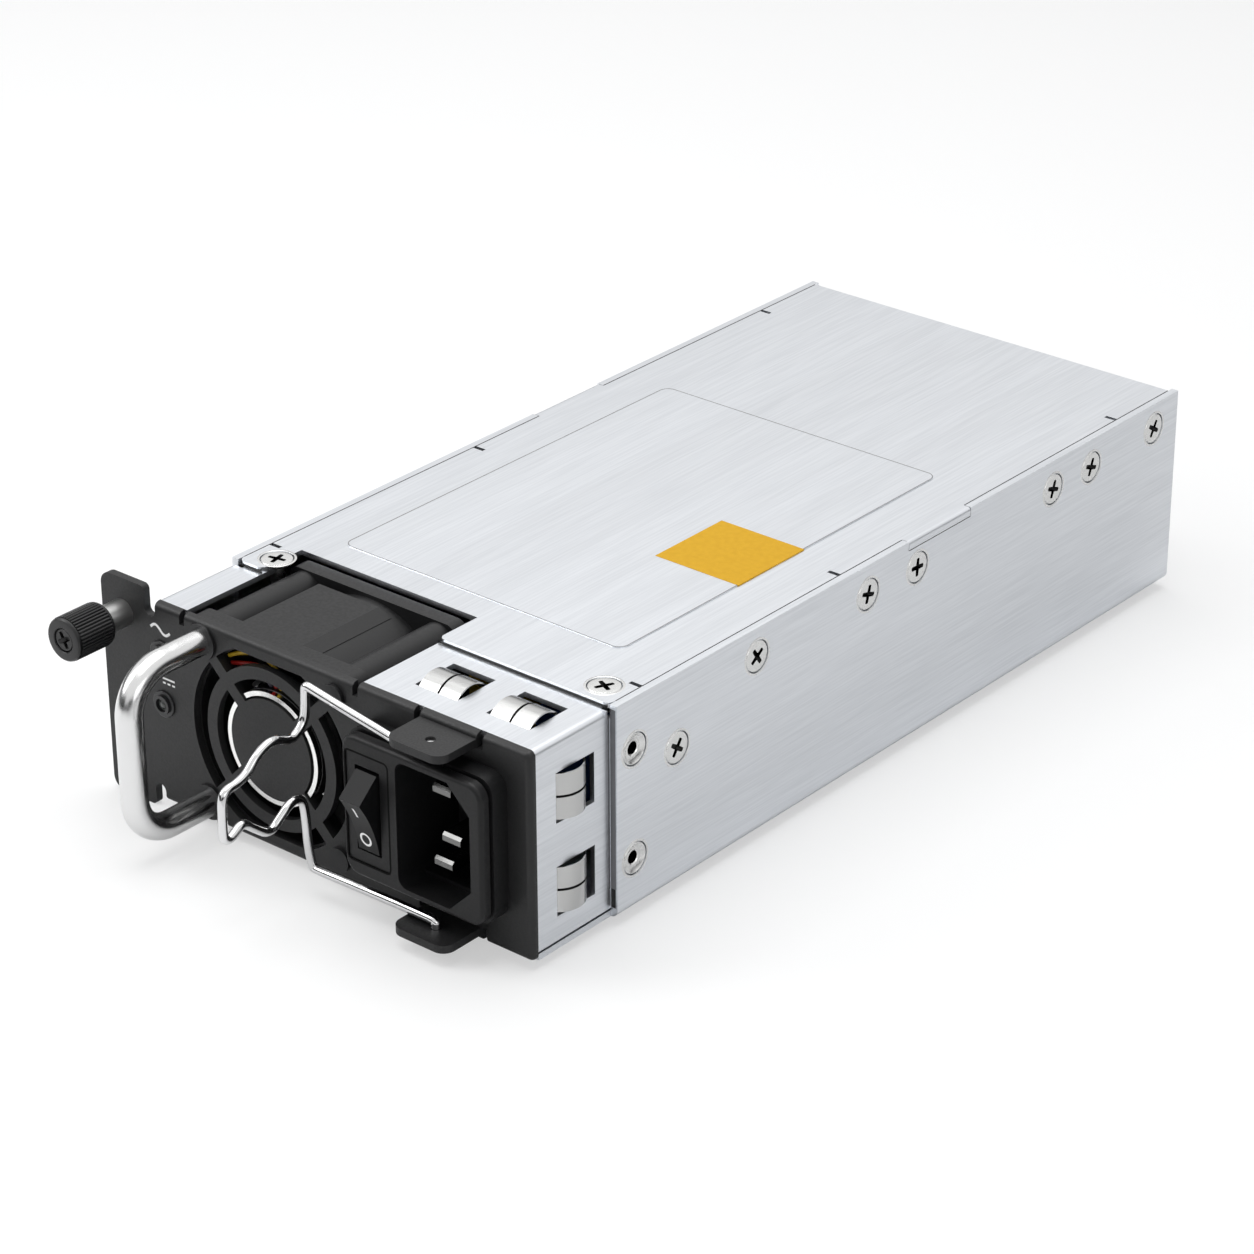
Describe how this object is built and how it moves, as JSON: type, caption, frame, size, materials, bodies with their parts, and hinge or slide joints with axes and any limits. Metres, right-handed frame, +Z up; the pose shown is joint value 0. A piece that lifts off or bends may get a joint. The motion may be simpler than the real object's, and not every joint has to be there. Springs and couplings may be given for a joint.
{
  "type": "server power supply",
  "caption": "Plug-in server power supply: long sheet-metal case, black front panel with fan, mains inlet, switch, pull handle, wire plug bail and captive thumbscrew.",
  "frame": {"origin": "middle of the underside of the case", "axes": "+Y from the front panel towards the rear connector, +Z up, +X to the right of someone who faces the front panel"},
  "size_m": [0.1027, 0.2238, 0.044],
  "materials": {
    "body_sheet": "brushed",
    "cover_sheet": "brushed",
    "nose_sheet": "brushed",
    "rear_sheet": "brushed",
    "panel_black": "satin black",
    "spring_steel": "bright",
    "fan_black": "moulded",
    "impeller_black": "moulded",
    "bearing_steel": "ground",
    "winding_copper": "enamelled",
    "yoke_steel": "rolled",
    "magnet_grey": "sintered",
    "shaft_steel": "ground",
    "lead_sleeves": "sleeving",
    "screw_steel": "plated",
    "handle_chrome": "polished",
    "bail_chrome": "polished",
    "nickel": "nickel plated",
    "inlet_black": "moulded",
    "ring_nickel": "nickel plated",
    "pin_nickel": "nickel plated",
    "switch_black": "moulded",
    "rocker_black": "moulded",
    "light_ring": "moulded",
    "light_clear": "clear",
    "label_silver": "film",
    "label_yellow": "film",
    "board_green": "solder mask",
    "standoff_brass": "turned",
    "insulation_film": "film",
    "contact_gold": "gold plated",
    "capacitor_black": "sleeved can",
    "ferrite_green": "coated",
    "film_yellow": "moulded",
    "fuse_white": "ceramic",
    "relay_blue": "moulded",
    "sink_aluminium": "extruded",
    "package_black": "moulded",
    "ferrite_black": "sintered",
    "tape_yellow": "taped"
  },
  "bodies": {
    "housing": {"chassis_tray": "body_sheet", "top_cover": "cover_sheet", "rear_panel": "rear_sheet", "nose_bracket_left": "nose_sheet", "nose_bracket_right": "nose_sheet", "front_panel": "panel_black", "grounding_springs_top": "spring_steel", "grounding_springs_right": "spring_steel", "fan_base_ring": "ring_nickel", "fan_frame": "fan_black", "fan_bearings": "bearing_steel", "fan_stator": "winding_copper", "fan_leads": "lead_sleeves", "fan_screws": "screw_steel", "pull_handle": "handle_chrome", "handle_washers": "nickel", "thumbscrew_ferrule": "nickel", "thumbscrew_spring": "spring_steel", "inlet_housing": "inlet_black", "inlet_pins": "pin_nickel", "switch_body": "switch_black", "light_holders": "light_ring", "light_pipes": "light_clear", "cover_screws": "screw_steel", "side_screws": "screw_steel", "side_rivets": "screw_steel", "rating_label": "label_silver", "marker_label": "label_yellow", "main_board": "board_green", "board_standoffs": "standoff_brass", "board_screws": "screw_steel", "insulation_sheet": "insulation_film", "output_board": "board_green", "output_contacts": "contact_gold", "bulk_capacitors": "capacitor_black", "output_capacitors": "capacitor_black", "filter_choke": "ferrite_green", "boost_inductor": "ferrite_green", "film_capacitors": "film_yellow", "mains_fuse": "fuse_white", "inrush_relay": "relay_blue", "primary_heatsink": "sink_aluminium", "secondary_heatsink": "sink_aluminium", "power_transistors": "package_black", "transformer_core": "ferrite_black", "transformer_winding": "tape_yellow", "control_board": "board_green"},
    "impeller": {"fan_impeller": "impeller_black", "fan_yoke": "yoke_steel", "fan_magnet": "magnet_grey", "fan_shaft": "shaft_steel"},
    "bail": {"bail_wire": "bail_chrome"},
    "rocker": {"switch_rocker": "rocker_black"},
    "thumbscrew_carrier": {"thumbscrew_washer": "nickel"},
    "thumbscrew": {"thumbscrew_knob": "nickel", "thumbscrew_screw": "nickel"}
  },
  "joints": [
    {"name": "fan_spin", "type": "hinge", "parent": "housing", "child": "impeller", "pos_m": [-0.0166, -0.0855, 0.02], "axis": [0, 1, 0], "continuous": true},
    {"name": "bail_swing", "type": "hinge", "parent": "housing", "child": "bail", "pos_m": [0.026, -0.1003, 0.02], "axis": [0, 0, 1], "range_deg": [-6, 105]},
    {"name": "rocker_tip", "type": "hinge", "parent": "housing", "child": "rocker", "pos_m": [0.01215, -0.099, 0.0207], "axis": [-1, 0, 0], "range_deg": [0, 24]},
    {"name": "thumbscrew_slide", "type": "slide", "parent": "housing", "child": "thumbscrew_carrier", "axis": [0, 1, 0], "range_m": [0, 0.0034], "stiffness_N_per_m": 200, "springref_m": -0.002, "deforming": ["thumbscrew_spring"]},
    {"name": "thumbscrew_turn", "type": "hinge", "parent": "thumbscrew_carrier", "child": "thumbscrew", "pos_m": [-0.0524, -0.1045, 0.0354], "axis": [0, 1, 0], "continuous": true}
  ]
}
